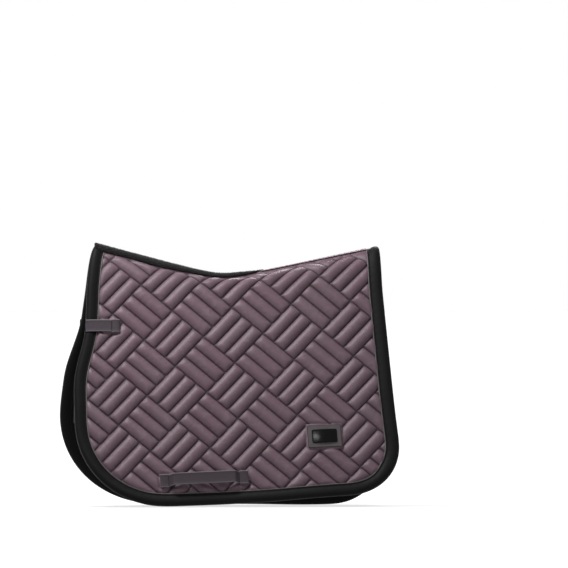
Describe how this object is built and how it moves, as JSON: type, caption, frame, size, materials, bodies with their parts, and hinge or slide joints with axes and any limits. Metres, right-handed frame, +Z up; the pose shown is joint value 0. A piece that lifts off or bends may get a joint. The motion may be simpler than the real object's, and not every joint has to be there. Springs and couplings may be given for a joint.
{
  "type": "saddle pad",
  "caption": "Quilted general-purpose jumping saddle pad with a dipped spine, bound edges, girth loops and hook-and-loop front tabs, standing as an open tent.",
  "frame": {"origin": "on the floor, under the middle of the pad's outline, halfway between the two flaps", "axes": "+X along the spine towards the rear, -Y out of the near (left) flap, +Z up"},
  "size_m": [0.6542, 0.42, 0.5274],
  "materials": {
    "quilted_satin": "satin, quilted in a basket weave",
    "foam": "open-cell foam",
    "lining_mesh": "matte knitted mesh",
    "lining_tape": "matte woven tape",
    "binding_satin": "soft satin",
    "piping": "satin cord",
    "plush": "short plush pile",
    "webbing": "woven webbing",
    "hook_tape": "hook tape",
    "loop_tape": "loop tape",
    "badge_cloth": "satin over a stiffener",
    "badge_plate": "glossy, blank",
    "label_tape": "woven tape, blank"
  },
  "bodies": {
    "crown": {"near_shell_top": "quilted_satin", "near_foam_top": "foam", "near_lining_top": "lining_mesh", "off_shell_top": "quilted_satin", "off_foam_top": "foam", "off_lining_top": "lining_mesh", "near_front_binding_top": "binding_satin", "near_rear_binding_top": "binding_satin", "off_front_binding_top": "binding_satin", "off_rear_binding_top": "binding_satin", "crown_piping": "piping", "spine_tape": "quilted_satin", "spine_tape_inner": "lining_tape", "withers_plush": "plush"},
    "near_flap": {"near_shell": "quilted_satin", "near_foam": "foam", "near_lining": "lining_mesh", "near_binding": "binding_satin", "near_piping": "piping", "near_tab_anchor": "webbing", "near_tab_patch": "loop_tape", "near_girth_strap": "webbing", "near_girth_front_patch": "webbing", "near_girth_rear_patch": "webbing", "badge_patch": "badge_cloth", "badge_plate": "badge_plate"},
    "off_flap": {"off_shell": "quilted_satin", "off_foam": "foam", "off_lining": "lining_mesh", "off_binding": "binding_satin", "off_piping": "piping", "off_tab_anchor": "webbing", "off_tab_patch": "loop_tape", "off_girth_strap": "webbing", "off_girth_front_patch": "webbing", "off_girth_rear_patch": "webbing", "care_label": "label_tape"},
    "near_tab": {"near_tab_webbing": "webbing", "near_tab_hooks": "hook_tape"},
    "off_tab": {"off_tab_webbing": "webbing", "off_tab_hooks": "hook_tape"}
  },
  "joints": [
    {"name": "near_fold", "type": "hinge", "parent": "crown", "child": "near_flap", "pos_m": [0, -0.048, 0.42619], "axis": [-1, 0, 0], "range_deg": [-24, 70]},
    {"name": "off_fold", "type": "hinge", "parent": "crown", "child": "off_flap", "pos_m": [0, 0.048, 0.42619], "axis": [1, 0, 0], "range_deg": [-24, 70]},
    {"name": "near_tab_opening", "type": "hinge", "parent": "near_flap", "child": "near_tab", "pos_m": [-0.28153, -0.08179, 0.36187], "axis": [0, -0.342, -0.9397], "range_deg": [0, 150]},
    {"name": "off_tab_opening", "type": "hinge", "parent": "off_flap", "child": "off_tab", "pos_m": [-0.28062, 0.08179, 0.36187], "axis": [0, -0.342, 0.9397], "range_deg": [0, 150]}
  ]
}
